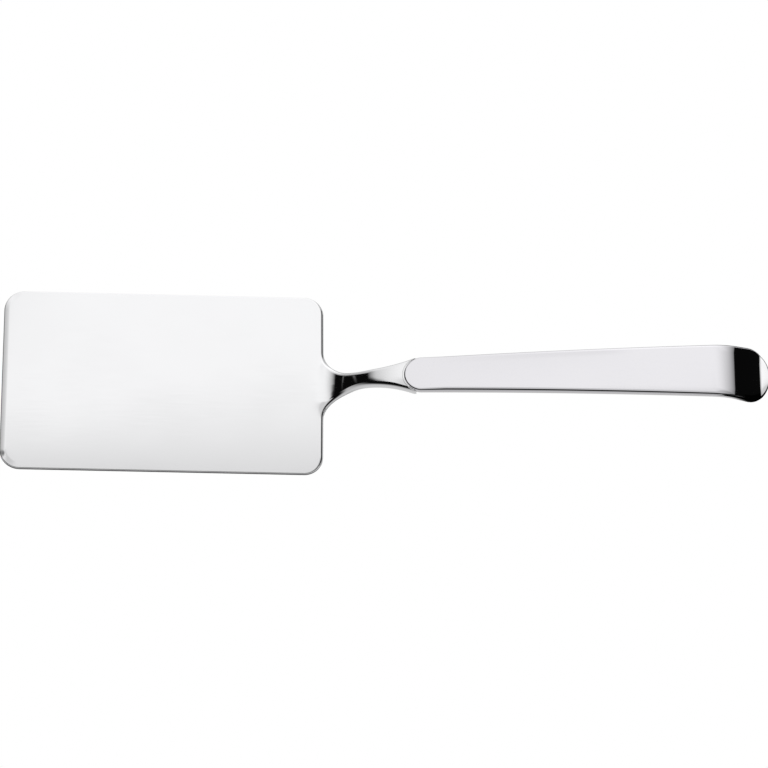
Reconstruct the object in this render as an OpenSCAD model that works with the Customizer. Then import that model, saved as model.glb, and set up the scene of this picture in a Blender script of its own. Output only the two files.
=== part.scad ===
// Lasagna server: a flat steel blade on a cranked neck, with a hollow handle of two shells.
// The origin is the middle of the blade's underside, +X points to the handle's tip and +Z is up.

/* [Blade] */
// Length of the serving plate, front edge to rear edge
blade_l = 109.5; // [90:0.5:130]
// Width of the serving plate
blade_w = 65.1; // [50:0.1:80]
// Thickness of the serving plate
blade_t = 1.5; // [1.2:0.1:2]
// Corner radius at the front edge
front_corner_r = 7; // [2:0.5:10]
// Corner radius at the rear edge
rear_corner_r = 6.5; // [2:0.5:10]
// Length of the bevel ground along the front edge
bevel_l = 2.2; // [0.5:0.1:4]
// Thickness left at the front edge
bevel_edge_t = 1.1; // [0.4:0.05:1.15]

/* [Neck] */
// Width of the neck at its narrowest
neck_w = 5.7; // [5:0.1:8]
// Height of the neck above its middle line, at the handle
neck_above = 1.1; // [1:0.05:1.3]
// Depth of the neck below its middle line, at the handle
neck_below = 1.9; // [1.4:0.05:2.2]
// Length over which the blade's thickness grows to the neck's
growth_l = 19.7; // [15:0.1:24]
// How far in front of the blade's rear edge the neck starts to bend up
bend_in = 1.9; // [0.5:0.1:3.5]
// Bend radius where the neck leaves the blade
dip_r = 15.8; // [12:0.1:20]
// Steepest angle of the neck, in degrees
neck_angle = 40.75; // [32:0.25:45]
// Bend radius past the steepest part
brow_r = 25.4; // [20:0.1:32]
// Angle between the two bends that level the neck out, in degrees
brow_angle = 16.8; // [13:0.2:20]
// Bend radius where the neck levels out towards the handle
crest_r = 61.8; // [50:0.1:80]
// Reach of the fillet between blade and neck, along the neck
fillet_l = 13.15; // [8:0.05:16]
// Reach of the same fillet along the blade's rear edge
fillet_w = 9.3; // [6:0.1:14]
// Start of the neck's flare, behind the blade's rear edge
flare_start = 11.3; // [7:0.1:14]
// Power of the law that widens the flare
flare_power = 2.2; // [1.6:0.1:3]

/* [Handle] */
// Width of the handle at its rounded nose
nose_w = 12.4; // [11:0.1:14]
// Width of the handle where its rounded end starts
tail_w = 19.45; // [16:0.05:24]
// Length of the rounded end
end_l = 8.1; // [6:0.1:10]
// Height of the upper shell, from the seam to its flat top
upper_h = 1.35; // [1.3:0.05:1.8]
// Depth of the lower shell, from the seam to its flat underside
lower_h = 1.8; // [1.6:0.05:2.4]
// Rounding along the edge of the upper shell
upper_edge_r = 0.95; // [0.7:0.05:1.2]
// Rounding of the same edge round the lip
lip_edge_r = 0.5; // [0.3:0.05:0.7]
// Rounding along the edge of the lower shell
lower_edge_r = 1.5; // [0.8:0.05:1.5]
// Wall thickness of the shells
wall = 0.5; // [0.4:0.05:0.5]
// Angle of the handle at its nose, in degrees
nose_angle = 8.2; // [6:0.2:12]
// Angle of the handle where its tip starts to bend, in degrees
back_angle = 3.2; // [1:0.2:5]
// Length of the handle from its nose to the bend
back_l = 104.6; // [85:0.1:125]
// Bend radius of the tip
tip_r = 19.5; // [12:0.5:30]
// Angle that the tip bends down to, in degrees
tip_angle = 23; // [15:1:30]
// Length of the tip's straight slope
tip_l = 8.25; // [7:0.05:15]
// Bend radius of the fold from the slope to the lip
fold_r = 3.6; // [3:0.1:6]
// Angle of the lip at the end, downwards, in degrees
lip_angle = 0; // [0:0.5:8]
// Length of the lip
lip_l = 2.75; // [2:0.05:6]

/* [Joint of neck and handle] */
// Width of the collar, seen from above in front of the nose
collar_w = 0.45; // [0.3:0.05:1]
// Height of the collar
collar_h = 2.5; // [2.2:0.05:2.6]
// Reach of the collar back along the sides of the nose
collar_wrap = 3.4; // [2.5:0.1:3.8]
// Reach of the neck back along the sides of the nose
neck_wrap = 4.2; // [3.8:0.1:4.3]
// Length of the tang inside the handle
tang_l = 45; // [30:1:60]
// Width of the tang
tang_w = 4.6; // [3.6:0.1:5]
// Thickness of the tang
tang_t = 1.4; // [1:0.1:1.4]
// Length of the cement past the tang's end
cement_past = 12; // [5:1:20]
// Thickness of the brazed seam between the shells
solder_t = 0.12; // [0.08:0.02:0.2]
// Clearance of the collar on the nose and on the neck
collar_gap = 0.04; // [0.02:0.01:0.08]
// Clearance round the tang in the collar and in the shells
tang_gap = 0.05; // [0.02:0.01:0.08]
// Clearance between the cement and the inside of the shells
cement_gap = 0.1; // [0.05:0.01:0.1]

/* [Hidden] */
$fn = 96;

// Steps along each stretch of a curve
dip_n = 10;
brow_n = 8;
crest_n = 6;
fillet_n = 12;
flare_n = 12;
nose_n = 7;
back_n = 9;
bend_n = 6;
slope_n = 2;
end_n = 12;
round_n = 5;
tang_n = 5;

// How far cutters and roots run past the faces that they meet
overrun = 4;

// Least rounding left on the inside of a shell's edge
least_r = 0.1;

blade_rear = blade_l / 2;
nose_r = nose_w / 2;
tail_hw = tail_w / 2;
full_turn = 360;
degrees_per_radian = full_turn / (2 * PI);

// Move along an arc of radius r while the angle goes from a to b, as [x, z]
function arc_move(r, a, b) =
    let (k = b > a ? r : -r)
    [k * (sin(b) - sin(a)), k * (cos(a) - cos(b))];

// Straight direction at an angle, as [x, z]
function heading(a) = [cos(a), sin(a)];

// Corner points of the middle line that runs from the blade to the lip
back_r = back_l * degrees_per_radian / (nose_angle - back_angle);
neck_p = [blade_rear - bend_in, blade_t / 2];
dip_p = neck_p + arc_move(dip_r, 0, neck_angle);
brow_p = dip_p + arc_move(brow_r, neck_angle, brow_angle);
nose_p = brow_p + arc_move(crest_r, brow_angle, nose_angle);
back_p = nose_p + arc_move(back_r, nose_angle, back_angle);
bend_p = back_p + arc_move(tip_r, back_angle, -tip_angle);
slope_p = bend_p + tip_l * heading(-tip_angle);
fold_p = slope_p + arc_move(fold_r, -tip_angle, -lip_angle);

// Distances of the same points along the handle, from its nose
bend_s = back_l + tip_r * (back_angle + tip_angle) / degrees_per_radian;
slope_s = bend_s + tip_l;
fold_s = slope_s + fold_r * (tip_angle - lip_angle) / degrees_per_radian;
handle_l = fold_s + lip_l;
end_s = handle_l - end_l;

// Angle of the handle's middle line at distance s from the nose
function angle_at(s) =
    s < 0 ? nose_angle :
    s < back_l ? nose_angle - s * degrees_per_radian / back_r :
    s < bend_s ? back_angle - (s - back_l) * degrees_per_radian / tip_r :
    s < slope_s ? -tip_angle :
    s < fold_s ? (s - slope_s) * degrees_per_radian / fold_r - tip_angle :
    -lip_angle;

// Point of the handle's middle line at distance s from the nose, as [x, z]
function rail(s) =
    s < 0 ? nose_p + s * heading(nose_angle) :
    s < back_l ? nose_p + arc_move(back_r, nose_angle, angle_at(s)) :
    s < bend_s ? back_p + arc_move(tip_r, back_angle, angle_at(s)) :
    s < slope_s ? bend_p + (s - bend_s) * heading(-tip_angle) :
    s < fold_s ? slope_p + arc_move(fold_r, -tip_angle, angle_at(s)) :
    fold_p + (s - fold_s) * heading(-lip_angle);

// Point [x, z] at height h above a middle point p of angle a
function above(p, a, h) = p + h * [-sin(a), cos(a)];

// Point in space at distance s along the handle, y across it and height h above its middle line
function lift(s, y, h) =
    let (q = above(rail(s), angle_at(s), h))
    [q[0], y, q[1]];

// Half width of the handle at distance s, between its nose and its rounded end
function half_w(s) = nose_r + (tail_hw - nose_r) * (s - nose_r) / (end_s - nose_r);

// Distances of the sections along the straight sides
side_s = concat(
    [for (i = [1 : back_n]) nose_r + (back_l - nose_r) * i / back_n],
    [for (i = [1 : bend_n]) back_l + (bend_s - back_l) * i / bend_n],
    [for (i = [1 : slope_n - 1]) bend_s + (end_s - bend_s) * i / slope_n]);

// Distances of all points of the handle's outline, from the nose along one side to the end
outline_s = concat(
    [for (i = [0 : nose_n]) nose_r * (1 - cos(90 * i / nose_n))],
    side_s,
    [for (i = [0 : end_n]) end_s + end_l * sin(90 * i / end_n)]);
side_n = len(outline_s) - 1;
ring_n = 2 * side_n;
end_i = nose_n + len(side_s) + 1;

// Point i of the outline at depth d inside the handle's edge, as [s, y]
function outline_point(i, d) =
    i <= nose_n ? let (a = 90 * i / nose_n) [nose_r - (nose_r - d) * cos(a), (nose_r - d) * sin(a)] :
    i < end_i ? [outline_s[i], half_w(outline_s[i]) - d] :
    let (a = 90 * (i - end_i) / end_n)
    [end_s + (end_l - d) * sin(a), i == side_n ? 0 : (tail_hw - d) * cos(a)];

// Closed ring round the handle, with depth d[i] inside its edge and height h[i] above its middle line
function ring(d, h) =
    let (o = [for (i = [0 : side_n]) outline_point(i, d[i])])
    concat(
        [for (i = [0 : side_n]) lift(o[i][0], o[i][1], h[i])],
        [for (i = [side_n - 1 : -1 : 1]) lift(o[i][0], -o[i][1], h[i])]);

// Ring of the same depth d and height h all round
function even_ring(d, h) = ring([for (s = outline_s) d], [for (s = outline_s) h]);

// Smooth step from 0 to 1
function eased(u) = let (v = min(max(u, 0), 1)) v * v * (3 - 2 * v);

// Rounding of a shell's edge at distance s: edge_r along the back, turning to lip_r at the end
function edge_at(s, edge_r, lip_r) = edge_r + (lip_r - edge_r) * eased((s - back_l) / (handle_l - back_l));

// Ring at angle a of a shell's rounded edge, inset by the wall or by nothing
function edge_ring(side, rise, edge_r, lip_r, inset, a) =
    let (r = [for (s = outline_s) max(edge_at(s, edge_r, lip_r) - inset, least_r)])
    ring([for (k = r) inset + k * (1 - cos(a))], [for (k = r) side * (rise - inset - k * (1 - sin(a)))]);

// Triangles between ring j and the ring after it
function strip(j, after) = [
    for (i = [0 : ring_n - 1], t = [0, 1])
        let (k = (i + 1) % ring_n)
        t == 0 ? [j * ring_n + i, after * ring_n + k, j * ring_n + k]
               : [j * ring_n + i, after * ring_n + i, after * ring_n + k]];

// Triangles that close ring j from side to side
function cap(j) = concat(
    [for (i = [0 : side_n - 2]) [i, i + 1, ring_n - i - 1] + j * ring_n * [1, 1, 1]],
    [for (i = [1 : side_n - 1]) [i, ring_n - i - 1, ring_n - i] + j * ring_n * [1, 1, 1]]);

// The same triangles seen from the other side
function turned(faces) = [for (f = faces) [f[2], f[1], f[0]]];

// One pressed half of the hollow handle, above the seam for side 1 and below it for side -1
module shell(side, rise, edge_r, lip_r) {
    angles = [for (i = [0 : round_n]) 90 * i / round_n];
    rings = concat(
        [for (i = [round_n : -1 : 0]) edge_ring(side, rise, edge_r, lip_r, wall, angles[i])],
        [even_ring(wall, side * solder_t / 2), even_ring(0, side * solder_t / 2)],
        [for (i = [0 : round_n]) edge_ring(side, rise, edge_r, lip_r, 0, angles[i])]);
    top = len(rings) - 1;
    faces = concat(cap(0), [for (j = [0 : top - 1]) each strip(j, j + 1)], turned(cap(top)));
    polyhedron([for (r = rings) each r], side > 0 ? faces : turned(faces));
}

// Places its children in the frame of the nose, with x along the handle
module at_nose() {
    translate([nose_p[0], 0, nose_p[1]]) rotate([0, -nose_angle, 0]) children();
}

// Room for the tang through the collar and the nose
module tang_slot() {
    slot_w = tang_w + 2 * tang_gap;
    slot_t = tang_t + 2 * tang_gap;
    at_nose() translate([-overrun, -slot_w / 2, -slot_t / 2]) cube([overrun + nose_r, slot_w, slot_t]);
}

// Extrudes a side view, drawn as [x, z], across the width w
module across(w) {
    translate([0, w / 2, 0]) rotate([90, 0, 0]) linear_extrude(w) children();
}

// Serving plate from above, with rounded corners
module plate_plan() {
    for (side = [-1, 1]) {
        translate([front_corner_r - blade_rear, side * (blade_w / 2 - front_corner_r)])
            circle(front_corner_r);
        translate([blade_rear - rear_corner_r, side * (blade_w / 2 - rear_corner_r)])
            circle(rear_corner_r);
    }
    translate([front_corner_r - blade_rear, -blade_w / 2])
        square([blade_l - front_corner_r - rear_corner_r, blade_w]);
    translate([-blade_rear, front_corner_r - blade_w / 2])
        square([blade_l / 2, blade_w - 2 * front_corner_r]);
    translate([0, rear_corner_r - blade_w / 2])
        square([blade_l / 2, blade_w - 2 * rear_corner_r]);
}

// Half width of the neck at x: an elliptic fillet at the blade and a flare that meets the handle's nose
flare_from = blade_rear + flare_start;
flare_to = nose_p[0] + collar_wrap;
function neck_half_w(x) =
    let (
        u = min((x - blade_rear) / fillet_l, 1),
        v = min(max((x - flare_from) / (flare_to - flare_from), 0), 1))
    neck_w / 2 + fillet_w * (1 - sqrt(1 - pow(1 - u, 2))) + (nose_w - neck_w) / 2 * pow(v, flare_power);

// Neck from above, rooted in the plate
module neck_plan() {
    fillet_to = blade_rear + fillet_l;
    xs = concat(
        [for (i = [0 : fillet_n]) blade_rear + fillet_l * (1 - cos(90 * i / fillet_n))],
        [for (i = [1 : flare_n]) fillet_to + (flare_to - fillet_to) * i / flare_n],
        [nose_p[0] + neck_wrap]);
    last = len(xs) - 1;
    root_hw = neck_half_w(blade_rear);
    polygon(concat(
        [[blade_rear - overrun, -root_hw]], [for (x = xs) [x, -neck_half_w(x)]],
        [for (i = [last : -1 : 0]) [xs[i], neck_half_w(xs[i])]], [[blade_rear - overrun, root_hw]]));
}

// Lower and upper point of the neck at middle point p, angle a and distance s behind the blade's rear edge
function neck_section(p, a, s) =
    let (g = eased(s / growth_l))
    [above(p, a, -blade_t / 2 - (neck_below - blade_t / 2) * g),
     above(p, a, blade_t / 2 + (neck_above - blade_t / 2) * g)];

// Sections along the neck's three bends and on to the middle of the nose
dip_s = dip_r * neck_angle / degrees_per_radian - bend_in;
brow_s = dip_s + brow_r * (neck_angle - brow_angle) / degrees_per_radian;
crest_s = brow_s + crest_r * (brow_angle - nose_angle) / degrees_per_radian;
neck_sections = concat(
    [for (i = [0 : dip_n])
        let (a = neck_angle * i / dip_n)
        neck_section(neck_p + arc_move(dip_r, 0, a), a, (dip_s + bend_in) * i / dip_n - bend_in)],
    [for (i = [1 : brow_n])
        let (a = neck_angle + (brow_angle - neck_angle) * i / brow_n)
        neck_section(dip_p + arc_move(brow_r, neck_angle, a), a, dip_s + (brow_s - dip_s) * i / brow_n)],
    [for (i = [1 : crest_n])
        let (a = brow_angle + (nose_angle - brow_angle) * i / crest_n)
        neck_section(
            brow_p + arc_move(crest_r, brow_angle, a), a, brow_s + (crest_s - brow_s) * i / crest_n)],
    [neck_section(rail(nose_r), angle_at(nose_r), crest_s + nose_r)]);

// Flat plate with the bevel ground along its front edge
module plate() {
    intersection() {
        linear_extrude(blade_t) plate_plan();
        across(blade_w) polygon([
            [-blade_rear, 0], [blade_rear, 0], [blade_rear, blade_t],
            [bevel_l - blade_rear, blade_t], [-blade_rear, bevel_edge_t]]);
    }
}

// Cranked neck, from its first bend inside the plate to the sides of the nose
module neck() {
    last = len(neck_sections) - 1;
    intersection() {
        linear_extrude(nose_p[1] + overrun) neck_plan();
        across(blade_w) polygon(concat(
            [for (m = neck_sections) m[0]], [for (i = [last : -1 : 0]) neck_sections[i][1]]));
    }
}

// Band along the handle's middle line between the heights low and high, from the side
module rail_side(from, to, low, high) {
    ss = [for (i = [0 : tang_n]) from + (to - from) * i / tang_n];
    polygon(concat(
        [for (s = ss) above(rail(s), angle_at(s), low)],
        [for (i = [tang_n : -1 : 0]) above(rail(ss[i]), angle_at(ss[i]), high)]));
}

// Tang that reaches from the neck into the handle, over a stretch that the cement also follows
module tang() {
    across(tang_w) rail_side(-overrun, 0, -tang_t / 2, tang_t / 2);
    across(tang_w) rail_side(0, tang_l, -tang_t / 2, tang_t / 2);
}

// Outline of the collar's front, from above in the frame of the nose
module collar_front(gap) {
    translate([nose_r - collar_w, 0]) circle(nose_r + gap);
}

// Plate, cranked neck and tang, stamped from one blank
module blade() {
    color("silver") {
        plate();
        difference() {
            neck();
            at_nose() linear_extrude(2 * collar_h, center = true) collar_front(collar_gap);
        }
        tang();
    }
}

// Crescent rim round the handle's nose, with a window for the tang
module neck_collar() {
    color("gainsboro") difference() {
        at_nose() linear_extrude(collar_h, center = true) difference() {
            intersection() {
                collar_front(0);
                translate([-nose_r, -nose_r]) square([nose_r + collar_wrap, nose_w]);
            }
            translate([nose_r, 0]) circle(nose_r + collar_gap);
        }
        tang_slot();
    }
}

// Upper half of the handle, with the flat top
module handle_upper_shell() {
    color("lightgray") difference() {
        shell(1, upper_h, upper_edge_r, lip_edge_r);
        tang_slot();
    }
}

// Lower half of the handle
module handle_lower_shell() {
    color("lightgray") difference() {
        shell(-1, lower_h, lower_edge_r, lower_edge_r);
        tang_slot();
    }
}

// Brazed seam between the two shells, open at the tang
module seam_solder() {
    corners = [[wall, solder_t / 2], [wall, -solder_t / 2], [0, -solder_t / 2], [0, solder_t / 2]];
    last = len(corners) - 1;
    color("darkgray") difference() {
        polyhedron(
            [for (c = corners) each even_ring(c[0], c[1])],
            [for (j = [0 : last]) each strip(j, (j + 1) % (last + 1))]);
        tang_slot();
    }
}

// Bonding cement round the tang, from the back of the nose
module tang_cement() {
    cement_low = wall + cement_gap - lower_h;
    cement_high = upper_h - wall - cement_gap;
    cement_to = tang_l + cement_past;
    inset = max(upper_edge_r, lower_edge_r) + cement_gap;
    from_x = rail(nose_r)[0];
    to_x = rail(cement_to)[0];
    from_hw = half_w(nose_r) - inset;
    to_hw = half_w(cement_to) - inset;
    color("tan") difference() {
        intersection() {
            across(tail_w) rail_side(0, cement_to, cement_low, cement_high);
            linear_extrude(rail(back_l)[1]) polygon(
                [[from_x, -from_hw], [to_x + overrun, -to_hw], [to_x + overrun, to_hw], [from_x, from_hw]]);
        }
        tang();
    }
}

blade();
neck_collar();
handle_upper_shell();
handle_lower_shell();
seam_solder();
tang_cement();
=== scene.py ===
"""Lasagna server of polished steel: its looks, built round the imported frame."""

from math import radians

import bpy
import numpy as np
from bpy.props import FloatProperty, FloatVectorProperty, PointerProperty
from mathutils import Matrix, Vector


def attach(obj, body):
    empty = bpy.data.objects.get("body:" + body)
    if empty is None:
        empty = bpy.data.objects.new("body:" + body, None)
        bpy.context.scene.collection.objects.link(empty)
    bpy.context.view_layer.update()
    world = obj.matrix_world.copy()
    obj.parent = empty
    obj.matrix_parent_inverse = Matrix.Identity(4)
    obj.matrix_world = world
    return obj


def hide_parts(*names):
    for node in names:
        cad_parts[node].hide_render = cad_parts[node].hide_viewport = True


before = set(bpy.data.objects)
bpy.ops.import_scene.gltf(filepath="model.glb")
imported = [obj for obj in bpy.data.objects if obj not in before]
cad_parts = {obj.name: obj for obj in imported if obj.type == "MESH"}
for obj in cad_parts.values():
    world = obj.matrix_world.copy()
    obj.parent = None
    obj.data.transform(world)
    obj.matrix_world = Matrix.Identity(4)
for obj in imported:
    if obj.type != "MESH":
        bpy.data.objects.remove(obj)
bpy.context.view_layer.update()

bl_info = {
    "name": "Lasagna server",
    "version": (1, 0, 0),
    "blender": (4, 5, 0),
    "location": "View3D > Sidebar > Server",
    "description": "Builds the polished surfaces of a lasagna server on its packed frame",
    "category": "Add Mesh",
}

BODY = "root"
MM = 0.001
QUARTER = np.pi / 2
# Edges that turn by more than this stay sharp under smooth shading
CREASE = radians(35)
# Where the handle's tint turns to the painted brighter tint of its tip, along X in metres: painted light that
# stands in for the tip's brighter reflection
TIP_PAINTED_BRIGHTER = (0.197, 0.203)


def linear(hex_colour):
    """Linear red, green and blue of an sRGB hex colour: the sRGB curve undone channel by channel."""
    c = np.array([int(hex_colour[i : i + 2], 16) for i in (0, 2, 4)]) / 255
    return tuple(np.where(c <= 0.04045, c / 12.92, ((c + 0.055) / 1.055) ** 2.4).tolist())


def size(label, millimetres, about):
    """A length property, given in millimetres and kept in metres."""
    return FloatProperty(
        name=label, description=about, default=millimetres * MM, min=0, precision=5, unit="LENGTH"
    )


def turn(label, degrees, about):
    """An angle property, given in degrees."""
    return FloatProperty(name=label, description=about, default=radians(degrees), subtype="ANGLE")


def colour(label, hex_colour, about):
    """A colour property, given as an sRGB hex value."""
    return FloatVectorProperty(
        name=label, description=about, default=linear(hex_colour), size=3, min=0, max=1, subtype="COLOR"
    )


class ServerBlade(bpy.types.PropertyGroup):
    """Sizes of the flat plate"""

    length: size("Length", 109.5, "Serving plate from front edge to rear edge")
    width: size("Width", 65.1, "Width of the serving plate")
    thick: size("Thickness", 1.5, "Thickness of the plate")
    front_corner: size("Front corner", 7, "Corner radius at the front edge")
    rear_corner: size("Rear corner", 6.5, "Corner radius at the rear edge")
    bevel: size("Bevel", 2.0, "Length of the bevel ground along the front edge")
    bevel_drop: size("Bevel drop", 0.47, "Height that the bevel takes off the front edge")
    edge: size("Side edge", 0.28, "Rounding of the polished edge along the sides")
    rear_edge: size("Rear edge", 1.15, "Rounding of the polished edge at the rear")
    foot_edge: size("Foot edge", 0.12, "Rounding of the underside's edge")


class ServerNeck(bpy.types.PropertyGroup):
    """Sizes of the cranked neck and its collar"""

    width: size("Width", 5.72, "Width of the neck at its narrowest")
    above: size("Height above", 0.98, "Height of the neck's top above the middle line, at the handle")
    below: size("Height below", 1.75, "Depth of the neck's underside below the middle line, at the handle")
    shoulder: size("Shoulder", 1.4, "Width of the rounding along the neck's upper edges")
    shoulder_drop: size("Shoulder drop", 0.9, "Height of the same rounding")
    crown: size("Crown", 0.1, "Height of the slight crown across the neck's top")
    crown_growth: size("Crown growth", 6, "Length over which that crown grows")
    crown_lead: size("Crown lead", 2, "How far in front of the rear edge the crown starts")
    growth: size("Growth", 19.7, "Length over which the plate's thickness grows to the neck's")
    bend_in: size("Bend start", 1.9, "How far in front of the rear edge the neck starts to bend up")
    ease: size("Bend easing", 2, "Half the length over which that bend eases in")
    dip: size("Dip radius", 15.8, "Bend radius where the neck leaves the blade")
    brow: size("Brow radius", 25.4, "Bend radius past the steepest part")
    crest: size("Crest radius", 61.8, "Bend radius where the neck levels out")
    pitch: turn("Pitch", 40.75, "Steepest pitch of the neck")
    brow_pitch: turn("Brow pitch", 16.8, "Pitch between the two bends that level the neck out")
    fillet_along: size("Fillet along", 13.15, "Reach of the root fillet along the neck")
    fillet_across: size("Fillet across", 9.3, "Reach of the root fillet along the blade's rear edge")
    flare_start: size("Flare start", 11.3, "Start of the flare behind the blade's rear edge")
    flare_power: FloatProperty(
        name="Flare power", description="Power of the law that widens the neck", default=2.2
    )
    collar: size("Collar width", 0.6, "Width of the collar, seen from above")
    collar_rise: size("Collar rise", 1.0, "Height of the collar above the middle line")
    collar_wrap: size("Collar wrap", 3.4, "Reach of the collar along the sides of the nose")
    wrap: size("Neck wrap", 4.2, "Reach of the neck along the sides of the nose")
    tang_length: size("Tang length", 45, "Length of the tang inside the handle")
    tang_width: size("Tang width", 4.6, "Width of the tang")
    tang_thick: size("Tang thickness", 1.4, "Thickness of the tang")


class ServerHandle(bpy.types.PropertyGroup):
    """Sizes of the hollow handle"""

    nose_width: size("Nose width", 12.4, "Width at the rounded nose")
    tail_width: size("Tail width", 19.45, "Width where the rounded end starts")
    end: size("End length", 8.1, "Length of the rounded end")
    upper: size("Upper height", 1.2, "Height of the upper shell above the seam")
    lower: size("Lower height", 1.8, "Depth of the lower shell below the seam")
    nose_edge: size("Nose edge", 0.74, "Rounding of the upper shell's edge round the nose")
    flank_edge: size("Flank edge", 1.14, "Rounding of the upper shell's edge just behind the nose")
    edge_growth: size("Edge growth", 8, "Length behind the nose over which its rounding grows")
    upper_edge: size("Upper edge", 1.0, "Rounding of the upper shell's edge at the bend of the tip")
    lip_edge: size("Lip edge", 0.5, "Rounding of the upper shell's edge round the lip")
    lower_edge: size("Lower edge", 1.5, "Rounding of the lower shell's edge")
    roll: size("Roll-off", 2, "Width along which the flat of a shell eases into its edge")
    roll_drop: size("Roll-off drop", 0.007, "Height that the flat loses there")
    tip_roll_drop: size("Tip roll-off drop", 0.06, "Height that the flat loses past the bend of the tip")
    wall: size("Wall", 0.42, "Wall of the shells")
    seam: size("Seam", 0.12, "Thickness of the brazed seam")
    nose_pitch: turn("Nose pitch", 8.2, "Pitch at the nose")
    back_pitch: turn("Back pitch", 3.2, "Pitch where the tip starts to bend")
    back: size("Back length", 104.6, "Length from the nose to the bend")
    tip: size("Tip radius", 19.5, "Bend radius of the tip")
    tip_pitch: turn("Tip pitch", 23, "Pitch that the tip bends down to")
    slope: size("Slope", 8.25, "Length of the tip's straight slope")
    fold: size("Fold radius", 3.6, "Bend radius from the slope to the lip")
    lip_pitch: turn("Lip pitch", 0, "Pitch of the lip, downwards")
    lip: size("Lip", 2.75, "Length of the lip")


class ServerFinish(bpy.types.PropertyGroup):
    """Colours of the metals and the cement"""

    blade: colour("Blade steel", "D3D3D4", "Polished stainless steel of the blade")
    handle: colour("Handle steel", "C9C8CB", "Polished stainless steel of the handle")
    # The tip's tint is painted light: brighter than the handle's, to stand in for the brighter reflection at
    # the tip
    tip: colour("Tip steel", "D7D7D8", "The handle's steel at its tip, buffed brighter by use")
    collar: colour("Collar steel", "D6D6D6", "Bright polished steel of the collar")
    solder: colour("Solder", "B9B3A4", "Brazing alloy in the seam")
    cement: colour("Cement", "7A6E5C", "Resin cement round the tang")


class ServerStage(bpy.types.PropertyGroup):
    """Camera and light"""

    azimuth: turn("Azimuth", -9.22, "Camera's turn about the upright axis")
    elevation: turn("Elevation", 67, "Camera's height above the horizon")
    roll: turn("Roll", 9.78, "Camera's turn about its own axis")
    distance: size("Distance", 1369.8, "Camera to its target")
    target: FloatVectorProperty(
        name="Target", description="Point that the camera looks at", default=(0.07556, 0.00163, 0), size=3,
        unit="LENGTH",
    )
    lens: FloatProperty(name="Lens", description="Focal length in millimetres", default=187.5, min=1)
    light: FloatProperty(
        name="Overhead light", description="Radiance of the overhead light", default=1.42, min=0
    )
    floor: colour("Floor", "FFFFFF", "Pale floor")


def smooth(v):
    """Smooth step: 3v squared minus 2v cubed, with v held between 0 and 1."""
    v = np.clip(v, 0, 1)
    return v * v * (3 - 2 * v)


class MiddleLine:
    """Middle line of plate, neck and handle in the plane of symmetry.

    The pitch is linear in the distance s between knots, so each stretch is straight or an arc. Only the
    first bend eases in, with a pitch that grows as the square of s. x and z are the running sums of the
    pitch's cosine and sine.
    """

    def __init__(self, blade, neck, handle):
        runs = np.array([
            (blade.length - neck.bend_in, 0),
            (neck.dip * neck.pitch, neck.pitch),
            (neck.brow * (neck.pitch - neck.brow_pitch), neck.brow_pitch),
            (neck.crest * (neck.brow_pitch - handle.nose_pitch), handle.nose_pitch),
            (handle.back, handle.back_pitch),
            (handle.tip * (handle.back_pitch + handle.tip_pitch), -handle.tip_pitch),
            (handle.slope, -handle.tip_pitch),
            (handle.fold * (handle.tip_pitch - handle.lip_pitch), -handle.lip_pitch),
            (handle.lip, -handle.lip_pitch),
        ])
        self.knots = np.concatenate(([0], np.cumsum(runs[:, 0])))
        self.nose, self.bend = self.knots[4:6]
        fine_points = 20001
        self.s = np.linspace(0, self.knots[-1], fine_points)
        self.pitch = np.interp(self.s, self.knots, np.concatenate(([0], runs[:, 1])))
        self.flat_end = self.knots[1] - neck.ease
        into = np.clip(self.s - self.flat_end, 0, 2 * neck.ease)
        self.pitch = np.where(into < 2 * neck.ease, into**2 / (4 * neck.ease * neck.dip), self.pitch)
        step = self.s[1]
        running = [np.concatenate(([0], np.cumsum(f[1:] + f[:-1]) * step / 2))
                   for f in (np.cos(self.pitch), np.sin(self.pitch))]
        self.x = running[0] - blade.length / 2
        self.z = running[1] + blade.thick / 2

    def at_x(self, x):
        """Distance s at which the line passes x."""
        return np.interp(x, self.x, self.s)

    def lift(self, s, y, h):
        """Points at distance s, y across and height h square to the line."""
        a = np.interp(s, self.s, self.pitch)
        x = np.interp(s, self.s, self.x) - h * np.sin(a)
        z = np.interp(s, self.s, self.z) + h * np.cos(a)
        return np.stack(np.broadcast_arrays(x, y, z), axis=-1)


def both_sides(half):
    """Closed loop from the points of one side: the side itself, then its mirror image run backwards."""
    return np.concatenate((half, half[..., ::-1, :] * (1, -1, 1)), axis=-2)


def skin_faces(rows, loop, capped=True):
    """Quads between the rows of a grid that is closed round its loop, capped by strips from side to side."""
    i, j = np.meshgrid(np.arange(loop), np.arange(rows - 1))
    k = (i + 1) % loop
    row, after = j * loop, (j + 1) * loop
    quads = np.stack((row + i, row + k, after + k, after + i), -1).reshape(-1, 4)
    if capped:
        i = np.arange(loop // 2 - 1)
        strip = np.stack((i, i + 1, loop - 2 - i, loop - 1 - i), -1)
        quads = np.concatenate((quads, strip[:, ::-1], strip + (rows - 1) * loop))
    return quads


def outward(points, quads):
    """The quads, turned round if their signed volume shows that the closed surface faces inwards."""
    a, b, c, d = (points[quads[:, n]] for n in range(4))
    volume = np.einsum("ij,ij->", a, np.cross(b, c)) + np.einsum("ij,ij->", a, np.cross(c, d))
    return quads if volume > 0 else quads[:, ::-1]


def make_piece(name, points, quads, material, nodes):
    """Puts a grid into a mesh object at the origin, shaded smooth but for its sharp edges."""
    points = points.reshape(-1, 3)
    mesh = bpy.data.meshes.new(name)
    mesh.from_pydata(points.tolist(), [], outward(points, quads).tolist())
    if mesh.validate():
        raise RuntimeError(f"{name} has broken faces")
    mesh.shade_smooth()
    mesh.set_sharp_from_angle(angle=CREASE)
    mesh.materials.append(material)
    piece = bpy.data.objects.new(name, mesh)
    bpy.context.scene.collection.objects.link(piece)
    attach(piece, BODY)
    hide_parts(*nodes)


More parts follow.
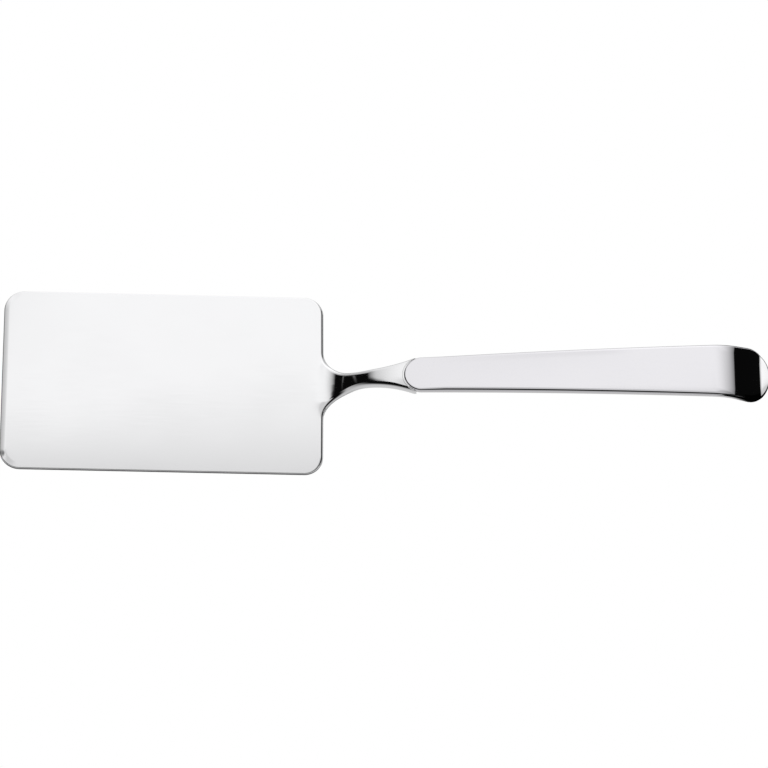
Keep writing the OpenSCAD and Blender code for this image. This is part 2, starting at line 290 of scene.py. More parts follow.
def add(tree, kind, values=(), links=(), **settings):
    """Adds a node with its properties, the constants of its sockets and the links that feed them."""
    made = tree.nodes.new(kind)
    for key, value in settings.items():
        setattr(made, key, value)
    for socket, value in dict(values).items():
        made.inputs[socket].default_value = value
    for socket, source in dict(links).items():
        tree.links.new(source, made.inputs[socket])
    return made


def new_material(name):
    """An empty node material with its output, as tree and output node."""
    material = bpy.data.materials.new(name)
    material.use_nodes = True
    material.node_tree.nodes.clear()
    return material, material.node_tree, material.node_tree.nodes.new("ShaderNodeOutputMaterial")


def polished_steel(name, tint, rough_low, rough_high, tip_painted_tint=None):
    """Stainless steel, buffed to a mirror, with a painted brightening past the bend of the tip if a tip tint
    is given: a brighter tint that stands in for the tip's brighter reflection.

    It gives the eye clean, slightly grey reflections with no texture of its own: the buffing lines run along
    the server and only show as a faint change in sharpness. Real buffing lines are about 0.05 mm apart, too
    fine for the picture, so they are drawn 0.5 mm apart.
    """
    material, tree, out = new_material(name)
    place = add(tree, "ShaderNodeTexCoord").outputs["Object"]
    line_gap, line_length, cloud_size = 0.5 * MM, 12.5 * MM, 25 * MM
    along = add(
        tree, "ShaderNodeMapping", {"Scale": (1 / line_length, 1 / line_gap, 1 / line_gap)},
        {"Vector": place},
    )
    lines = add(
        tree, "ShaderNodeTexNoise", {"Scale": 1, "Detail": 2, "Roughness": 0.6}, {"Vector": along.outputs[0]}
    )
    clouds = add(tree, "ShaderNodeTexNoise", {"Scale": 1 / cloud_size, "Detail": 1}, {"Vector": place})
    wear = add(
        tree, "ShaderNodeMath", {}, {0: lines.outputs["Fac"], 1: clouds.outputs["Fac"]},
        operation="MULTIPLY",
    )
    rough = add(
        tree, "ShaderNodeMapRange",
        {"From Min": 0.1, "From Max": 0.4, "To Min": rough_low, "To Max": rough_high},
        {"Value": wear.outputs[0]},
    )
    steel = add(
        tree, "ShaderNodeBsdfPrincipled", {"Base Color": (*tint, 1), "Metallic": 1},
        {"Roughness": rough.outputs["Result"]},
    )
    # Painted brightening: past the bend of the tip the base colour turns to the brighter tip tint, standing
    # in for the brighter reflection there
    if tip_painted_tint:
        spot = add(tree, "ShaderNodeSeparateXYZ", {}, {0: place})
        tip = add(
            tree, "ShaderNodeMapRange", {"From Min": TIP_PAINTED_BRIGHTER[0], "From Max": TIP_PAINTED_BRIGHTER[1]},
            {"Value": spot.outputs["X"]},
        )
        tint_along = add(
            tree, "ShaderNodeMix", {"A": (*tint, 1), "B": (*tip_painted_tint, 1)},
            {"Factor": tip.outputs["Result"]}, data_type="RGBA",
        )
        tree.links.new(tint_along.outputs["Result"], steel.inputs["Base Color"])
    tree.links.new(steel.outputs[0], out.inputs["Surface"])
    return material


def brazed_seam(tint):
    """Silver brazing alloy, polished flush with the shells.

    It gives the eye a hairline that is a little warmer and duller than the steel, with fine pores.
    """
    material, tree, out = new_material("silver_brazing_polished_flush")
    coords = add(tree, "ShaderNodeTexCoord")
    pore_size = 0.4 * MM
    pores = add(
        tree, "ShaderNodeTexNoise", {"Scale": 1 / pore_size, "Detail": 3},
        {"Vector": coords.outputs["Object"]},
    )
    rough = add(
        tree, "ShaderNodeMapRange", {"To Min": 0.12, "To Max": 0.34}, {"Value": pores.outputs["Fac"]}
    )
    alloy = add(
        tree, "ShaderNodeBsdfPrincipled", {"Base Color": (*tint, 1), "Metallic": 1},
        {"Roughness": rough.outputs["Result"]},
    )
    tree.links.new(alloy.outputs[0], out.inputs["Surface"])
    return material


def cast_cement(tint):
    """Resin cement with a mineral filler, cast round the tang.

    It gives the eye a dull, sandy mass: filler grains of about 0.3 mm lighten and darken it.
    """
    material, tree, out = new_material("resin_cement_cast")
    coords = add(tree, "ShaderNodeTexCoord")
    grain = 0.3 * MM
    sand = add(
        tree, "ShaderNodeTexNoise", {"Scale": 1 / grain, "Detail": 4}, {"Vector": coords.outputs["Object"]}
    )
    shade = add(tree, "ShaderNodeValToRGB", {}, {"Fac": sand.outputs["Fac"]})
    ends = shade.color_ramp.elements
    ends[0].position, ends[1].position = 0.3, 0.7
    ends[0].color = (*(0.7 * np.array(tint)), 1)
    ends[1].color = (*(1.25 * np.array(tint)), 1)
    bump = add(
        tree, "ShaderNodeBump", {"Strength": 0.4, "Distance": 0.05 * MM}, {"Height": sand.outputs["Fac"]}
    )
    cement = add(
        tree, "ShaderNodeBsdfPrincipled", {"Roughness": 0.85},
        {"Base Color": shade.outputs["Color"], "Normal": bump.outputs["Normal"]},
    )
    tree.links.new(cement.outputs[0], out.inputs["Surface"])
    return material


def settings():
    """The property groups of the scene."""
    return bpy.context.scene.lasagna_server


def middle_line():
    """The middle line for the sizes that are set now."""
    k = settings()
    return MiddleLine(k.blade, k.neck, k.handle)


def blade_side(line, blade, neck, handle):
    """One side of plate and neck from above, front to rear, as (s, y), and how many points are the plate's.

    Two quarter circles for the plate's corners, a quarter ellipse for the root of the neck, and a power law
    that widens the neck to the handle's nose.
    """
    front_points, rear_points, back_points, root_points, stem_points = 32, 44, 16, 72, 70
    hw = blade.width / 2
    fr, rr = blade.front_corner, blade.rear_corner
    t = np.linspace(0, QUARTER, front_points)
    front = np.stack((fr - fr * np.cos(t), hw - fr + fr * np.sin(t)), -1)
    # The rear edge leans by a hair, so that its points differ in s too
    lean = 0.05 * MM
    t = np.linspace(0, QUARTER, rear_points)
    rear = np.stack((blade.length - lean - rr + rr * np.sin(t), hw - rr + rr * np.cos(t)), -1)
    root_y = neck.width / 2 + neck.fillet_across
    t = np.linspace(0, 1, back_points)[1:-1]
    back = np.stack((blade.length - lean * (1 - t), hw - rr + (root_y - hw + rr) * t), -1)
    plate = np.concatenate((front, rear, back))
    nose = np.interp(line.nose, line.s, line.x)
    stop = nose + neck.collar_wrap
    rear_x = blade.length / 2
    root = neck.fillet_along * (1 - np.cos(np.linspace(0, QUARTER, root_points)))
    stem = np.linspace(root[-1], nose + neck.wrap - rear_x, stem_points)[1:]
    x = rear_x + np.concatenate((root, stem))
    u = np.clip((x - rear_x) / neck.fillet_along, 0, 1)
    start = rear_x + neck.flare_start
    v = np.clip((x - start) / (stop - start), 0, 1)
    y = neck.width / 2 + neck.fillet_across * (1 - np.sqrt(1 - (1 - u) ** 2))
    y += v**neck.flare_power * (handle.nose_width - neck.width) / 2
    return np.concatenate((plate, np.stack((line.at_x(x), y), -1))), len(plate)


def blade_rings(line, blade, neck, handle):
    """Plate and neck as rings of their outline, set in from the edge and raised along a rounded profile.

    Ring by ring the outline moves in along its own normal by w(1 - cos p) while the height grows by h sin p,
    with w and h small on the plate and larger on the neck's shoulders. Further rings carry the slight crown
    of the neck and the bevel of the front edge, which drops by a power of the way to the edge and runs out
    round the corners by a power of the cosine. The rings inside shrink to a thin core. Away from the neck the
    rear edge stays flat.
    """
    flat_rings, bevel_rings, edge_rings, foot_rings = 22, 9, 13, 7
    bevel_power, run_out_power = 1.2, 3.5
    # Strips further than bent_from from the middle stay flat, and those closer by bent_over bend in full
    bent_from, bent_over = 15 * MM, 9 * MM
    stem_blend, hair = 2 * MM, 0.02 * MM
    # Shares of the side rounding's height, of the stem's half width, of the bevel and of the innermost ring
    edge_rise, stem_share, bevel_share, core = 0.9, 0.97, 1.1, 0.03
    stem_depth = 3 * MM

    side, plate_points = blade_side(line, blade, neck, handle)
    tangent = np.gradient(side, axis=0)
    tangent /= np.linalg.norm(tangent, axis=1, keepdims=True)
    normal = np.stack((-tangent[:, 1], tangent[:, 0]), -1)
    s, y = side.T
    past = s - blade.length
    behind = np.arange(len(s)) >= plate_points
    at_front = np.clip(-normal[:, 0], 0, 1) ** run_out_power
    at_rear = np.where(behind, 1, np.clip(normal[:, 0], 0, 1) ** 2)
    on_neck = smooth(past / stem_blend) * behind
    edge = blade.edge + (blade.rear_edge - blade.edge) * at_rear
    round_w = edge + (neck.shoulder - edge) * on_neck

    # Narrower rings also draw in from the front and the rear, so that no two of them share an edge
    rear_pull = -np.clip(1 - past / neck.fillet_along, 0, 1) ** 2
    most_pull = 0.9 * blade.width / 2
    pull = np.where(s < blade.length / 2, 1, rear_pull) * most_pull

    def grown(at, plate, end):
        return plate + (end - plate) * smooth((at - blade.length) / neck.growth)

    def ring(depth, height, narrow):
        at, across = (side - normal * depth[:, None]).T
        at, across = at + (1 - narrow) * pull, across * narrow
        h = height(at, across)
        flat = 1 - smooth((bent_from - across) / bent_over)
        stay = flat * np.clip(at - line.flat_end, 0, None)
        points = line.lift(at - stay, across, h)
        points[:, 0] += stay
        return both_sides(points)

    def upper(depth, rise, narrow=1.0):
        def height(at, across):
            top = grown(at, blade.thick / 2, neck.above)
            foot = grown(at, blade.thick / 2 - edge_rise * edge, neck.above - neck.shoulder_drop)
            crowned = smooth((at - blade.length + neck.crown_lead) / neck.crown_growth)
            crown = neck.crown * crowned * (across / y) ** 2
            bevel = blade.bevel_drop * at_front * np.clip(1 - depth / blade.bevel, 0, 1) ** bevel_power
            return foot + (top - foot) * rise - crown - bevel
        return ring(depth, height, narrow)

    def lower(depth, rise, narrow=1.0):
        def height(at, across):
            foot = grown(at, -blade.thick / 2, -neck.below)
            return foot + blade.foot_edge * (1 - rise)
        return ring(np.full_like(s, depth), height, narrow)

    def inner(step):
        on_stem = round_w + (np.minimum(stem_share * y, stem_depth) - round_w) * step
        on_plate = edge + hair + (bevel_share * blade.bevel - edge) * step
        return on_plate * (1 - on_neck) + on_stem * on_neck

    shrunk = np.linspace(core, 1, flat_rings)[:-1]
    rows = [upper(inner(1), 1, narrow) for narrow in shrunk]
    rows += [upper(inner(step), 1) for step in np.linspace(1, 0, bevel_rings)[:-1]]
    rows.append(upper(round_w + hair, 1))
    for p in np.linspace(QUARTER, 0, edge_rings):
        rows.append(upper(round_w * (1 - np.cos(p)), np.sin(p)))
    for p in np.linspace(0, QUARTER, foot_rings):
        rows.append(lower(blade.foot_edge * (1 - np.cos(p)), np.sin(p)))
    rows += [lower(blade.foot_edge, 1, narrow) for narrow in shrunk[::-1]]
    return np.stack(rows)


def bar_rows(line, start, end, half_w, half_t, steps):
    """A flat bar along the middle line: rectangles at even distances from start to end."""
    s = np.linspace(start, end, steps)[:, None]
    y = half_w * np.array([-1, -1, 1, 1])
    h = half_t * np.array([-1, 1, 1, -1])
    return line.lift(s, y, h)


class SERVER_OT_blade(bpy.types.Operator):
    """Builds the plate, the cranked neck and the tang"""

    bl_idname = "server.blade"
    bl_label = "Blade and neck"

    def execute(self, context):
        k = settings()
        neck, line = k.neck, middle_line()
        rings = blade_rings(line, k.blade, neck, k.handle)
        points = rings.reshape(-1, 3)
        faces = outward(points, skin_faces(*rings.shape[:2]))
        # The tang starts inside the neck, so that the two are one piece to the eye
        sunk, steps = 4 * MM, 40
        start, end = line.nose - sunk, line.nose + neck.tang_length
        tang = bar_rows(line, start, end, neck.tang_width / 2, neck.tang_thick / 2, steps)
        tang_points = tang.reshape(-1, 3)
        tang_faces = outward(tang_points, skin_faces(*tang.shape[:2]))
        quads = np.concatenate((faces, tang_faces + len(points)))
        points = np.concatenate((points, tang_points))
        steel = polished_steel("stainless_steel_mirror_buffed", k.finish.blade, 0.05, 0.09)
        make_piece("server_blade", points, quads, steel, ["blade"])
        return {"FINISHED"}


def collar_rows(line, neck, handle):
    """Crescent collar: a rounded rectangle carried round the front of the nose.

    At angle t the section runs from the front circle back to the nose circle, which is the front circle
    moved back by the collar's width.
    """
    around, corner_points = 121, 7
    r = handle.nose_width / 2
    reach = np.arccos((r - neck.collar - neck.collar_wrap) / r)
    t = np.linspace(-reach, reach, around)[:, None]
    w, rise = neck.collar, neck.collar_rise - neck.crown * np.sin(t) ** 2
    front_r, rear_r = 0.35 * MM, 0.15 * MM
    p = np.linspace(0, QUARTER, corner_points)
    q = np.concatenate((front_r * (1 - np.cos(p)), w - rear_r + rear_r * np.sin(p)))
    h = np.concatenate((rise - front_r + front_r * np.sin(p), rise - rear_r + rear_r * np.cos(p)), axis=1)
    q, h = np.concatenate((q, q[::-1])), np.concatenate((h, -h[:, ::-1]), axis=1)
    s = line.nose + r - neck.collar - r * np.cos(t) + q
    return line.lift(s, r * np.sin(t) + 0 * q, h)


class SERVER_OT_collar(bpy.types.Operator):
    """Builds the bright collar between neck and handle"""

    bl_idname = "server.collar"
    bl_label = "Collar"

    def execute(self, context):
        k = settings()
        rows = collar_rows(middle_line(), k.neck, k.handle)
        steel = polished_steel("stainless_steel_bright_ring", k.finish.collar, 0.04, 0.08)
        faces = skin_faces(*rows.shape[:2])
        make_piece("server_neck_collar", rows, faces, steel, ["neck_collar"])
        return {"FINISHED"}


def handle_side(line, handle, depth):
    """One side of the handle from above, nose to end, as (s, y), inside its edge by depth, a function of s.

    A quarter circle at the nose, a straight taper, and a quarter ellipse at the end.
    """
    nose_points, back_points, tip_points, end_points = 28, 80, 50, 64
    r, tail = handle.nose_width / 2, handle.tail_width / 2
    start, total = line.nose, line.knots[-1]
    end = total - handle.end
    t = (np.arange(nose_points) + 0.5) / nose_points * QUARTER
    nose = np.stack((start + r - (r - depth(start)) * np.cos(t), (r - depth(start)) * np.sin(t)), -1)
    back, slope = np.linspace(start + r, line.bend, back_points), np.linspace(line.bend, end, tip_points)
    s = np.concatenate((back, slope[1:]))
    flank = np.stack((s, r + (tail - r) * (s - start - r) / (end - start - r) - depth(s)), -1)
    t = (np.arange(end_points) + 0.5) / end_points * QUARTER
    d = depth(end + handle.end * np.sin(t))
    tip = np.stack((end + (handle.end - d) * np.sin(t), (tail - d) * np.cos(t)), -1)
    return np.concatenate((nose, flank, tip))


def handle_ring(line, handle, depth, height):
    """Closed ring round the handle, inside its edge by depth and above its seam by height, both laws of s."""
    side = handle_side(line, handle, depth)
    return both_sides(line.lift(side[:, 0], side[:, 1], height(side[:, 0])))


def shell_rings(line, handle, rise, edges, up):
    """One pressed shell as rings: inner skin from its flat down to the seam, then outer skin back up.

    Both skins share one rounding about the same centre: the depth is the inset plus r(1 - cos p) and the
    height rises by r sin p. The rounding r goes in straight lines between its values at the nose, behind it,
    at the bend and at the lip. The flat eases into it by a square law. up is 1 for the upper shell and -1
    for the lower.
    """
    edge_rings, roll_rings = 15, 9
    tip_blend, least_radius = 6 * MM, 0.1 * MM
    flank = line.nose + handle.nose_width / 2

    def edge_at(s):
        return np.interp(s, (flank, flank + handle.edge_growth, line.bend, line.knots[-1]), edges)

    def roll_drop(s):
        past_bend = smooth((s - line.bend) / tip_blend)
        return handle.roll_drop + (handle.tip_roll_drop - handle.roll_drop) * past_bend

    def skin(inset):
        def radius(s):
            return np.maximum(edge_at(s) - inset, least_radius)

        rows = [handle_ring(line, handle, lambda s: inset + 0 * s, lambda s: up * handle.seam / 2 + 0 * s)]
        turned = [(p, 0) for p in np.linspace(0, QUARTER, edge_rings)]
        eased = [(QUARTER, e) for e in np.linspace(0, 1, roll_rings)[1:]]
        for p, e in turned + eased:
            rows.append(handle_ring(
                line, handle,
                lambda s: inset + radius(s) * (1 - np.cos(p)) + handle.roll * e,
                lambda s: up * (rise - inset - radius(s) * (1 - np.sin(p)) - roll_drop(s) * (1 - e) ** 2),
            ))
        return rows

    return np.stack(skin(handle.wall)[::-1] + skin(0))


class SERVER_OT_shells(bpy.types.Operator):
    """Builds the two pressed shells of the hollow handle"""

    bl_idname = "server.shells"
    bl_label = "Handle shells"

    def execute(self, context):
        k = settings()
        h, line = k.handle, middle_line()
        steel = polished_steel(
            "stainless_steel_pressed_shell_polished", k.finish.handle, 0.03, 0.06, k.finish.tip
        )
        upper_edges = (h.nose_edge, h.flank_edge, h.upper_edge, h.lip_edge)
        shells = ((1, h.upper, upper_edges, "upper"), (-1, h.lower, (h.lower_edge,) * 4, "lower"))
        for up, rise, edges, word in shells:
            rings = shell_rings(line, h, rise, edges, up)
            faces = skin_faces(*rings.shape[:2])
            make_piece(
                f"server_handle_{word}_shell", rings, faces, steel, [f"handle_{word}_shell"]
            )
        return {"FINISHED"}


class SERVER_OT_bonding(bpy.types.Operator):
    """Builds the brazed seam and finishes the cement round the tang"""

    bl_idname = "server.bonding"
    bl_label = "Seam and cement"

    def execute(self, context):
        k = settings()
        handle, line = k.handle, middle_line()
        half = handle.seam / 2
        corners = ((handle.wall, half), (handle.wall, -half), (0, -half), (0, half), (handle.wall, half))
        rings = np.stack([
            handle_ring(line, handle, lambda s: d + 0 * s, lambda s: h + 0 * s) for d, h in corners
        ])
        rows, loop = rings.shape[:2]
        faces = skin_faces(rows, loop, capped=False)
        faces = np.where(faces >= (rows - 1) * loop, faces - (rows - 1) * loop, faces)
        make_piece(
            "server_seam_solder", rings[:-1], faces, brazed_seam(k.finish.solder), ["seam_solder"]
        )
        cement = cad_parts["tang_cement"]
        cement.data.materials.clear()
        cement.data.materials.append(cast_cement(k.finish.cement))
        return {"FINISHED"}


def studio_formula(light):
    """The studio's light from one direction, as rows of a name, an operation and what it works on.

    a is the angle towards +X, in units of 0.94 degrees, and b the angle towards the front in degrees, both
    from straight up. left and right are how far a lies to either side of what the flat plate mirrors to the
    camera, and forward is how far b lies in front of it. The overhead light is 1 - (left / left_reach) cubed
    - (right / right_reach) squared between soft ends, and a little dimmer where the plate's near half mirrors
    it. Low walls glow in front and behind, and the gaps between them are dark, which gives neck and tip their
    black. The last two values of a soft step are where it is 0 and where it is 1.
    """
    degree = radians(1)
    a_unit, widest = 0.94 * degree, 60.0
    plate_a, plate_b = 3.9, -22.7
    left_reach, right_reach = 45.5, 44.8
    left_end, right_end, front_end = (36.9, 29.7), (41.2, 39.6), (13.0, 3.0)
    least_glow, horizon = 0.004, (0.004, -0.004)
    # How much sooner the light ends on either side per degree in front, on the left only from lean_from on
    left_lean, right_lean, lean_from = 2.0, 0.8, (18.0, 27.0)
    # The plate's two shades: a step that slants across it, and a dimming towards its near edge
    slant, slant_from, slant_to, slant_step, slant_depth = 0.13, -3.0, 4.0, (-22.45, -21.6), 0.11
    near_from, near_length, near_depth, near_span = -22.0, 0.66, 0.25, (27.0, 13.0)
    # The far edges and the far front corner: how much they change, and where, along b and along left
    far_gain, far_start, far_span = 0.12, (-24.6, -29.0), (14.0, 6.0)
    corner_loss, corner_far, corner_start, corner_stop = -0.085, (-22.9, -23.6), (4.8, 6.4), (16.0, 9.0)
    # The slit: its glow, its two ends along a and its start along y
    slit_glow, slit_start, slit_stop, slit_far = 0.4, (-62.4, -61.4), (-58.6, -59.6), (0.3, 0.7)
    # The walls: their glow, their ends by bearing and their tops by z
    wall_glow = 0.7
    front_wall_end, front_wall_top = (100.0, 90.0), (0.77, 0.27)
    rear_wall_end, rear_wall_top = (124.0, 134.0), (0.95, 0.45)
    return (
        # The direction's angles
        ("x angle", "ARCSINE", "x"),
        ("a", "DIVIDE", "x angle", a_unit),
        ("to front", "MULTIPLY", "y", -1.0),
        ("front angle", "ARCTAN2", "to front", "z"),
        ("b", "DIVIDE", "front angle", degree),
        ("round angle", "ARCTAN2", "x", "to front"),
        ("round size", "ABSOLUTE", "round angle"),
        ("bearing", "DIVIDE", "round size", degree),
        ("left of plate", "SUBTRACT", plate_a, "a"),
        ("left", "MAXIMUM", "left of plate", 0.0),
        ("right of plate", "SUBTRACT", "a", plate_a),
        ("right", "MAXIMUM", "right of plate", 0.0),
        ("before plate", "SUBTRACT", "b", plate_b),
        ("before held", "MINIMUM", "before plate", widest),
        ("forward", "MAXIMUM", "before held", -widest),
        # The overhead light and its soft ends
        ("left share", "DIVIDE", "left", left_reach),
        ("left fall", "POWER", "left share", 3.0),
        ("right share", "DIVIDE", "right", right_reach),
        ("right fall", "POWER", "right share", 2.0),
        ("fall", "ADD", "left fall", "right fall"),
        ("dome", "SUBTRACT", 1.0, "fall"),
        ("dome held", "MAXIMUM", "dome", 0.0),
        ("leaning", "SMOOTHSTEP", "left", *lean_from),
        ("lean", "MULTIPLY", "forward", "leaning"),
        ("left leant", "MULTIPLY_ADD", "lean", left_lean, "left"),
        ("left lit", "SMOOTHSTEP", "left leant", *left_end),
        ("in front", "MAXIMUM", "forward", 0.0),
        ("right leant", "MULTIPLY_ADD", "in front", right_lean, "right"),
        ("right lit", "SMOOTHSTEP", "right leant", *right_end),
        ("front lit", "SMOOTHSTEP", "b", *front_end),
        ("sides lit", "MULTIPLY", "left lit", "right lit"),
        ("all lit", "MULTIPLY", "sides lit", "front lit"),
        ("plain light", "MULTIPLY", "dome held", "all lit"),
        # Dimmer for the plate's near half
        ("a short", "MINIMUM", "a", slant_to),
        ("a held", "MAXIMUM", "a short", slant_from),
        ("slanted", "MULTIPLY_ADD", "a held", slant, "b"),
        ("slant lit", "SMOOTHSTEP", "slanted", *slant_step),
        ("slant shade", "MULTIPLY", "slant lit", slant_depth),
        ("past middle", "SUBTRACT", "b", near_from),
        ("past held", "MAXIMUM", "past middle", 0.0),
        ("near share", "DIVIDE", "past held", near_length),
        ("near square", "MULTIPLY", "near share", "near share"),
        ("near held", "MINIMUM", "near square", 1.0),
        ("near shade", "MULTIPLY_ADD", "near held", near_depth, "slant shade"),
        ("near side", "SMOOTHSTEP", "left", *near_span),
        ("shade", "MULTIPLY", "near shade", "near side"),
        ("near fade", "SUBTRACT", 1.0, "shade"),
        # Brighter for the far edges, and a little greyer for the plate's far front corner
        ("far", "SMOOTHSTEP", "b", *far_start),
        ("far middle", "SMOOTHSTEP", "left", *far_span),
        ("far edge", "MULTIPLY", "far", "far middle"),
        ("far fade", "MULTIPLY_ADD", "far edge", far_gain, "near fade"),
        ("corner start", "SMOOTHSTEP", "left", *corner_start),
        ("corner stop", "SMOOTHSTEP", "left", *corner_stop),
        ("corner strip", "MULTIPLY", "corner start", "corner stop"),
        ("corner far", "SMOOTHSTEP", "b", *corner_far),
        ("corner", "MULTIPLY", "corner strip", "corner far"),
        ("fade", "MULTIPLY_ADD", "corner", corner_loss, "far fade"),
        ("overhead", "MULTIPLY", "plain light", "fade"),
        # A faint slit low on the left, which draws the thin lines in the neck's black
        ("slit start", "SMOOTHSTEP", "a", *slit_start),
        ("slit stop", "SMOOTHSTEP", "a", *slit_stop),
        ("slit strip", "MULTIPLY", "slit start", "slit stop"),
        ("slit far", "SMOOTHSTEP", "y", *slit_far),
        ("slit", "MULTIPLY", "slit strip", "slit far"),
        ("slit light", "MULTIPLY", "slit", slit_glow),
        ("lamps", "MAXIMUM", "overhead", "slit light"),
        ("lamp light", "MULTIPLY_ADD", "lamps", light, least_glow),
        # Low walls, by their bearing from the front and their top
        ("front wall side", "SMOOTHSTEP", "bearing", *front_wall_end),
        ("front wall top", "SMOOTHSTEP", "z", *front_wall_top),
        ("front wall", "MULTIPLY", "front wall side", "front wall top"),
        ("rear wall side", "SMOOTHSTEP", "bearing", *rear_wall_end),
        ("rear wall top", "SMOOTHSTEP", "z", *rear_wall_top),
        ("rear wall", "MULTIPLY", "rear wall side", "rear wall top"),
        ("walls", "ADD", "front wall", "rear wall"),
        ("wall light", "MULTIPLY", "walls", wall_glow),
        ("room", "MAXIMUM", "lamp light", "wall light"),
        # White below the horizon, and white for the camera itself
        ("below", "SMOOTHSTEP", "z", *horizon),
        ("above", "SUBTRACT", 1.0, "below"),
        ("room and ground", "MULTIPLY_ADD", "room", "above", "below"),
        ("mirrored", "SUBTRACT", 1.0, "seen"),
        ("radiance", "MULTIPLY_ADD", "room and ground", "mirrored", "seen"),
    )


def studio_world(light):
    """A plain studio: a world whose nodes work out the formula row by row, from the ray's direction."""
    world = bpy.data.worlds.new("studio")
    bpy.context.scene.world = world
    world.use_nodes = True
    tree = world.node_tree
    tree.nodes.clear()
    coords = add(tree, "ShaderNodeTexCoord")
    ray = add(tree, "ShaderNodeSeparateXYZ", {}, {0: coords.outputs["Generated"]})
    known = dict(zip("xyz", ray.outputs))
    known["seen"] = add(tree, "ShaderNodeLightPath").outputs["Is Camera Ray"]
    for name, operation, *sources in studio_formula(light):
        values = {n: source for n, source in enumerate(sources) if source not in known}
        links = {n: known[source] for n, source in enumerate(sources) if source in known}
        if operation == "SMOOTHSTEP":
            made = add(tree, "ShaderNodeMapRange", values, links, label=name, interpolation_type=operation)
        else:
            made = add(tree, "ShaderNodeMath", values, links, label=name, operation=operation)
        known[name] = made.outputs[0]
    sky = add(tree, "ShaderNodeBackground", {"Color": (1, 1, 1, 1)}, {"Strength": known["radiance"]})
    out = add(tree, "ShaderNodeOutputWorld", {}, {"Surface": sky.outputs[0]})
    out.is_active_output = True


def pale_floor(tint):
    """A flat pale floor that glows like a light table, so that nothing throws a shadow on it.

    What mirrors in the steel is painted shade: darker where the server comes close to the floor, a painted
    contact shadow, and painted black right of the tip, out of the picture.
    """
    reach, below, shade_reach = 4.0, 0.3 * MM, 7 * MM
    # Along X in metres: the mirrored floor is painted black from the first and pale up to the second
    painted_black_from, pale_to = 0.2005, 0.1945
    mesh = bpy.data.meshes.new("floor")
    corners = [(x * reach, y * reach, -below) for x, y in ((-1, -1), (1, -1), (1, 1), (-1, 1))]
    mesh.from_pydata(corners, [], [(0, 1, 2, 3)])
    material, tree, out = new_material("light_table_glass_painted_shade")
    # Painted contact shadow: ambient occlusion near the server dims the glow that the steel mirrors
    shade = add(tree, "ShaderNodeAmbientOcclusion", {"Distance": shade_reach}, samples=8)
    painted_contact_shadow = add(
        tree, "ShaderNodeMapRange", {"From Min": 0.6, "From Max": 0.95, "To Min": 0.04, "To Max": 0.84},
        {"Value": shade.outputs["AO"]},
    )
    place = add(tree, "ShaderNodeTexCoord")
    along = add(tree, "ShaderNodeSeparateXYZ", {}, {0: place.outputs["Object"]})
    # Painted shade: the floor that the steel mirrors turns black right of the tip
    pale = add(
        tree, "ShaderNodeMapRange", {"From Min": painted_black_from, "From Max": pale_to},
        {"Value": along.outputs["X"]}, interpolation_type="SMOOTHSTEP",
    )
    lit = add(
        tree, "ShaderNodeMath", {}, {0: painted_contact_shadow.outputs["Result"], 1: pale.outputs["Result"]},
        operation="MULTIPLY",
    )
    # The camera itself sees the floor evenly white; the painted shade shows only in reflections
    seen = add(tree, "ShaderNodeLightPath").outputs["Is Camera Ray"]
    shine = add(tree, "ShaderNodeMath", {}, {0: lit.outputs[0], 1: seen}, operation="MAXIMUM")
    glow = add(tree, "ShaderNodeEmission", {"Color": (*tint, 1)}, {"Strength": shine.outputs[0]})
    tree.links.new(glow.outputs[0], out.inputs["Surface"])
    mesh.materials.append(material)
    floor = bpy.data.objects.new("floor", mesh)
    bpy.context.scene.collection.objects.link(floor)


def black_card():
    """A small folded card in front of the tip that only mirrors show, which keeps the tip's near edge black.

    It stands upright on the floor, with two wings between the folds, given as x and y in metres.
    """
    folds, tall, black = ((0.200, -0.052), (0.233, -0.027), (0.243, 0.012)), 54 * MM, 0.002
    mesh = bpy.data.meshes.new("black_card")
    corners = [(*fold, z) for z in (0, tall) for fold in folds]
    mesh.from_pydata(corners, [], [(0, 1, 4, 3), (1, 2, 5, 4)])
    material, tree, out = new_material("black_velvet_card")
    pile = add(tree, "ShaderNodeBsdfDiffuse", {"Color": (black, black, black, 1)})
    tree.links.new(pile.outputs[0], out.inputs["Surface"])
    mesh.materials.append(material)
    card = bpy.data.objects.new("black_card", mesh)
    card.visible_camera = False
    bpy.context.scene.collection.objects.link(card)


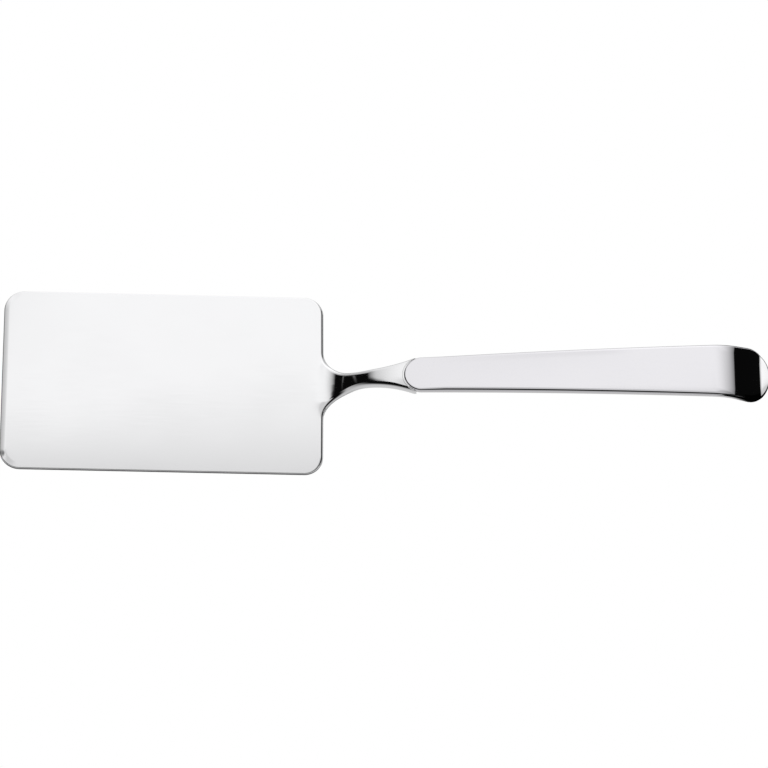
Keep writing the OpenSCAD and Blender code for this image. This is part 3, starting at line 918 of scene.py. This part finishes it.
class SERVER_OT_stage(bpy.types.Operator):
    """Sets up the camera, the studio light, the floor and the card"""

    bl_idname = "server.stage"
    bl_label = "Stage"

    def execute(self, context):
        stage = settings().stage
        back = Vector((
            np.sin(stage.azimuth) * np.cos(stage.elevation),
            -np.cos(stage.azimuth) * np.cos(stage.elevation),
            np.sin(stage.elevation),
        ))
        right = Vector((0, 0, 1)).cross(back).normalized()
        axes = Matrix((right, back.cross(right), back)).transposed()
        lens = bpy.data.cameras.new("camera")
        lens.sensor_width = 36
        lens.lens = stage.lens
        lens.clip_start, lens.clip_end = 0.05, 50
        camera = bpy.data.objects.new("camera", lens)
        turned = axes.to_4x4() @ Matrix.Rotation(stage.roll, 4, "Z")
        camera.matrix_world = Matrix.Translation(Vector(stage.target) + back * stage.distance) @ turned
        context.scene.collection.objects.link(camera)
        context.scene.camera = camera
        context.scene.view_settings.view_transform = "Standard"
        studio_world(stage.light)
        pale_floor(stage.floor)
        black_card()
        return {"FINISHED"}


class ServerSettings(bpy.types.PropertyGroup):
    """All settings of the server"""

    blade: PointerProperty(name="Blade", description="Sizes of the plate", type=ServerBlade)
    neck: PointerProperty(name="Neck", description="Sizes of the neck and collar", type=ServerNeck)
    handle: PointerProperty(name="Handle", description="Sizes of the handle", type=ServerHandle)
    finish: PointerProperty(name="Finish", description="Colours", type=ServerFinish)
    stage: PointerProperty(name="Stage", description="Camera and light", type=ServerStage)


OPERATORS = (SERVER_OT_stage, SERVER_OT_blade, SERVER_OT_collar, SERVER_OT_shells, SERVER_OT_bonding)
GROUPS = (ServerBlade, ServerNeck, ServerHandle, ServerFinish, ServerStage, ServerSettings)


class SERVER_PT_sidebar(bpy.types.Panel):
    """Lists the server's settings and the steps that build it"""

    bl_idname = "SERVER_PT_sidebar"
    bl_label = "Lasagna server"
    bl_space_type = "VIEW_3D"
    bl_region_type = "UI"
    bl_category = "Server"

    def draw(self, context):
        for step in OPERATORS:
            self.layout.operator(step.bl_idname)
        for key in ServerSettings.__annotations__:
            group = getattr(context.scene.lasagna_server, key)
            box = self.layout.box()
            box.label(text=key.capitalize())
            for field in group.__annotations__:
                box.prop(group, field)


def register():
    for cls in (*GROUPS, *OPERATORS, SERVER_PT_sidebar):
        bpy.utils.register_class(cls)
    bpy.types.Scene.lasagna_server = PointerProperty(
        name="Lasagna server", description="Settings", type=ServerSettings
    )


def unregister():
    del bpy.types.Scene.lasagna_server
    for cls in reversed((*GROUPS, *OPERATORS, SERVER_PT_sidebar)):
        bpy.utils.unregister_class(cls)


def main():
    register()
    bpy.ops.server.stage()
    bpy.ops.server.blade()
    bpy.ops.server.collar()
    bpy.ops.server.shells()
    bpy.ops.server.bonding()


if __name__ == "__main__":
    main()
